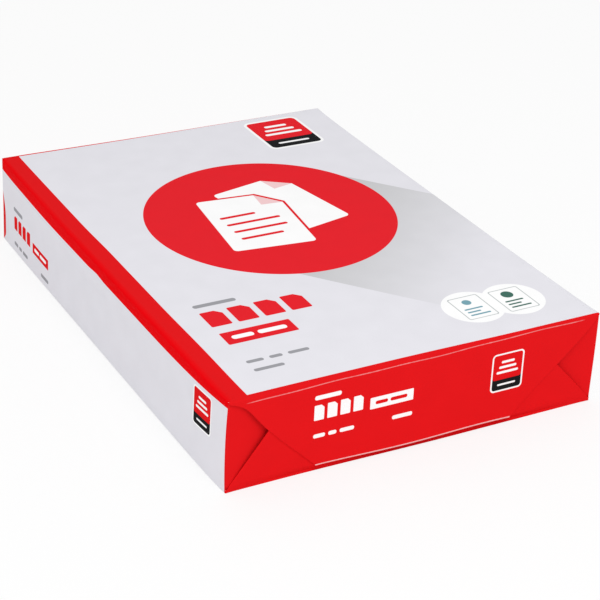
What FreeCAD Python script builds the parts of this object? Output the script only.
import FreeCAD, Part
import os

import Sketcher

# A ream of A4 copier paper, sealed in its printed paper wrapper. Lengths are in millimetres.
#
# The pack is one closed thing, so it is one solid: 500 sheets, with a wrapper folded round them.
# It lies flat. +Z is up and the underside is at Z = 0, +X runs across the sheets and +Y along them.
# The origin is the centre of the underside.
#
# The wrapper is a tube round the stack with a glued lap along the underside. At each end the tube
# stands past the stack and is folded like a parcel, in this order from the inside outwards:
# the two side walls are tucked in, the lower flap is folded up and the upper flap is folded down
# over it. The tucks pull the upper and lower walls into trapezoids with slanting sides.

NODE = "wrapped_ream"

SIZES = [
    ("sheet_wide", 210.0, "width of one sheet"),
    ("sheet_long", 297.0, "length of one sheet"),
    ("sheet_count", 500.0, "sheets in the ream"),
    ("sheet_thick", 0.101, "thickness of one 80 gram sheet"),
    ("face_play", 0.25, "wrapper and air above the stack, and again below it"),
    ("side_play", 0.8, "wrapper and air along each long side"),
    ("end_play", 0.7, "side tuck and air between the stack and the flaps"),
    ("flap_thick", 0.4, "one flap: two plies of wrapper and the air between them"),
    ("edge_round", 2.0, "soft radius of the two upper long edges"),
    ("base_round", 1.1, "radius of the two lower long edges, pressed by the weight of the stack"),
    ("crease_round", 1.0, "radius where the walls turn onto the ends"),
    ("flap_slant", 45.0, "angle of a flap's folded sides, in degrees"),
    ("cut_level", 3.0, "height of the upper flap's cut edge above the underside"),
    ("fold_rise", 4.0, "height at which the lower flap's sides leave the corners"),
    ("tuck_hollow", 0.6, "how much deeper a side tuck lies where the flaps cross"),
    ("lap_place", 14.0, "distance of the lap's cut edge from the middle of the underside"),
    ("lap_step", 0.22, "height of the lap's cut edge"),
    ("lap_fade", 9.0, "width over which the step beside the lap flattens out"),
    ("lap_stop", 6.0, "distance from each end where the crease has pressed the lap flat"),
]

# Sizes worked out from the sheet, as expressions. A slope is the rise of a flap's folded side for
# each millimetre across. Cutting outlines run past the pack by the radius of its long edges.
HALF_WIDE = "(sizes.sheet_wide / 2 + sizes.side_play)"
HIGH = "(sizes.sheet_count * sizes.sheet_thick + 2 * sizes.face_play)"
HALF_LONG = "(sizes.sheet_long / 2 + sizes.end_play + 2 * sizes.flap_thick)"
SLOPE = "tan(sizes.flap_slant)"
CUT_HALF = f"({HALF_WIDE} - ({HIGH} - sizes.cut_level) / {SLOPE})"
CROSS_IN = f"(({HIGH} - sizes.fold_rise) / (2 * {SLOPE}))"
CROSS_LEVEL = f"(({HIGH} + sizes.fold_rise) / 2)"
PAST_SIDE = f"({HALF_WIDE} + sizes.edge_round)"
PAST_RISE = f"(sizes.edge_round * {SLOPE})"

doc = FreeCAD.newDocument("ream")
sizes = doc.addObject("Spreadsheet::Sheet", "sizes")
for row, (alias, value, meaning) in enumerate(SIZES, start=1):
    sizes.set(f"A{row}", meaning)
    sizes.set(f"B{row}", str(value))
    sizes.setAlias(f"B{row}", alias)
doc.recompute()

body = doc.addObject("PartDesign::Body", NODE)
body.Label = NODE


def origin_plane(role):
    """One of the body's own origin planes, found by its role."""
    return next(item for item in body.Origin.OriginFeatures if item.Role == role)


def evaluate(expression):
    """The plain number that an expression gives with the present sizes."""
    result = sizes.evalExpression(expression)
    return float(getattr(result, "Value", result))


def place_sketch(name, distance):
    """An empty sketch across the pack. Its distance is counted from the middle to the front end."""
    sketch = body.newObject("Sketcher::SketchObject", name)
    sketch.AttachmentSupport = (origin_plane("XZ_Plane"), [""])
    sketch.MapMode = "FlatFace"
    sketch.setExpression("AttachmentOffset.Base.z", distance)
    doc.recompute()
    return sketch


def fix_point(sketch, geometry, end, corner):
    """Tie a point of the sketch to a pair of expressions, across and up."""
    for kind, expression in zip(("DistanceX", "DistanceY"), corner):
        number = sketch.addConstraint(
            Sketcher.Constraint(kind, geometry, end, evaluate(expression)))
        sketch.setExpression(f"Constraints[{number}]", expression)


def draw_outline(name, distance, corners):
    """A closed outline of straight lines through the corners, tied corner by corner."""
    sketch = place_sketch(name, distance)
    points = [FreeCAD.Vector(evaluate(across), evaluate(up), 0) for across, up in corners]
    count = len(points)
    lines = [sketch.addGeometry(Part.LineSegment(points[i], points[(i + 1) % count]), False)
             for i in range(count)]
    for i, line in enumerate(lines):
        sketch.addConstraint(Sketcher.Constraint("Coincident", line, 2, lines[(i + 1) % count], 1))
        fix_point(sketch, line, 1, corners[i])
    doc.recompute()
    return sketch


def draw_point(name, distance, corner):
    """A sketch of one point, the tip that a loft runs into."""
    sketch = place_sketch(name, distance)
    across, up = corner
    point = sketch.addGeometry(Part.Point(FreeCAD.Vector(evaluate(across), evaluate(up), 0)))
    fix_point(sketch, point, 1, corner)
    doc.recompute()
    return sketch


def take_away(feature):
    """Recompute and make sure that a cut has removed something."""
    before = feature.BaseFeature.Shape.Volume
    doc.recompute()
    if not feature.Shape.Volume < before - 1.0:
        raise RuntimeError(f"{feature.Label} cuts nothing")
    return feature


def cut_from_end(name, sketch, depth):
    """Cut an outline into the front end to a depth."""
    pocket = body.newObject("PartDesign::Pocket", name)
    pocket.Profile = sketch
    pocket.Type = "Length"
    pocket.setExpression("Length", depth)
    return take_away(pocket)


def round_edges(name, base, keep, radius):
    """Round those edges of the base feature that the test keep picks."""
    names = [f"Edge{number}" for number, edge in enumerate(base.Shape.Edges, start=1) if keep(edge)]
    fillet = body.newObject("PartDesign::Fillet", name)
    fillet.Base = (base, names)
    fillet.setExpression("Radius", radius)
    doc.recompute()
    return fillet


def runs_lengthwise(edge, level):
    """True for an edge that runs along Y at a level above the underside."""
    first, last = edge.Vertexes[0].Point, edge.Vertexes[-1].Point
    return all(abs(gap) < 1e-6 for gap in (first.x - last.x, first.z - level, last.z - level))


def lies_on_front(edge):
    """True for an edge in the plane of the front end."""
    return all(abs(vertex.Y + evaluate(HALF_LONG)) < 1e-6 for vertex in edge.Vertexes)


# The front half of the wrapped stack: a block with soft long edges and softly creased end edges.
section = draw_outline("section", "0", [
    (f"-{HALF_WIDE}", "0"),
    (HALF_WIDE, "0"),
    (HALF_WIDE, HIGH),
    (f"-{HALF_WIDE}", HIGH),
])
half_pack = body.newObject("PartDesign::Pad", "half_pack")
half_pack.Profile = section
half_pack.Type = "Length"
half_pack.setExpression("Length", HALF_LONG)
doc.recompute()
upper_edges = round_edges("upper_edges", half_pack,
                          lambda edge: runs_lengthwise(edge, evaluate(HIGH)), "sizes.edge_round")
lower_edges = round_edges("lower_edges", upper_edges,
                          lambda edge: runs_lengthwise(edge, 0.0), "sizes.base_round")
round_edges("end_creases", lower_edges, lies_on_front, "sizes.crease_round")

# The upper flap is the outermost. Round its slanting sides and its cut edge the end lies one
# flap deeper, which is the face of the lower flap.
beside_upper_flap = draw_outline("beside_upper_flap", HALF_LONG, [
    (f"-{PAST_SIDE}", f"{HIGH} + {PAST_RISE}"),
    (f"-{PAST_SIDE}", "-sizes.edge_round"),
    (PAST_SIDE, "-sizes.edge_round"),
    (PAST_SIDE, f"{HIGH} + {PAST_RISE}"),
    (CUT_HALF, "sizes.cut_level"),
    (f"-{CUT_HALF}", "sizes.cut_level"),
])
cut_from_end("upper_flap", beside_upper_flap, "sizes.flap_thick")

# Each side tuck shows as a triangle between the two flaps. It lies two flaps deep at the corner
# of the pack and slopes in to its deepest point, where the slanting sides of the flaps cross.
for side, sign in (("left", "-"), ("right", "")):
    across_corner = f"{sign}{PAST_SIDE}"
    across_crossing = f"{sign}({HALF_WIDE} - {CROSS_IN})"
    triangle = [
        (across_corner, f"{HIGH} + {PAST_RISE}"),
        (across_corner, f"sizes.fold_rise - {PAST_RISE}"),
        (across_crossing, CROSS_LEVEL),
    ]
    tuck_face = f"({HALF_LONG} - 2 * sizes.flap_thick)"
    cut_from_end(f"{side}_tuck", draw_outline(f"{side}_tuck_outline", HALF_LONG, triangle),
                 "2 * sizes.flap_thick")
    hollow = body.newObject("PartDesign::SubtractiveLoft", f"{side}_tuck_hollow")
    hollow.Profile = draw_outline(f"{side}_hollow_outline", tuck_face, triangle)
    hollow.Sections = [(draw_point(f"{side}_hollow_tip", f"({tuck_face} - sizes.tuck_hollow)",
                                   (across_crossing, CROSS_LEVEL)), ["Vertex1"])]
    hollow.Ruled = True
    take_away(hollow)

# The back half repeats the front one.
whole_pack = body.newObject("PartDesign::Mirrored", "whole_pack")
whole_pack.MirrorPlane = (origin_plane("XZ_Plane"), [""])
whole_pack.TransformMode = "Whole shape"
body.Tip = whole_pack
doc.recompute()

# The lap of the wrapper runs along the underside. Beside its cut edge the inner ply lies one step
# higher and comes down to the resting plane over a short width.
lap_edge = draw_outline("lap_edge", "0", [
    ("sizes.lap_place", "-sizes.edge_round"),
    ("sizes.lap_place + sizes.lap_fade", "-sizes.edge_round"),
    ("sizes.lap_place + sizes.lap_fade", "0"),
    ("sizes.lap_place", "sizes.lap_step"),
])
underside_lap = body.newObject("PartDesign::Pocket", "underside_lap")
underside_lap.Profile = lap_edge
underside_lap.Type = "Length"
underside_lap.SideType = "Symmetric"
underside_lap.setExpression("Length", f"2 * ({HALF_LONG} - sizes.lap_stop)")
take_away(underside_lap)
body.Tip = underside_lap
doc.recompute()

# Nothing is written unless every object and the finished solid are sound.
for item in doc.Objects:
    if "Invalid" in item.State or "Error" in item.State:
        raise RuntimeError(f"{item.Label} is {item.State}")
if body.Shape.isNull() or not body.Shape.isValid() or len(body.Shape.Solids) != 1:
    raise RuntimeError(f"{body.Label} has no sound solid")

os.makedirs("parts", exist_ok=True)
body.Shape.exportStep(f"parts/{body.Label}.step")
box = body.Shape.optimalBoundingBox(False)
print(f"{body.Label}: {box.XLength:.2f} x {box.YLength:.2f} x {box.ZLength:.2f} mm, "
      f"{body.Shape.Volume / 1000:.1f} cm3")
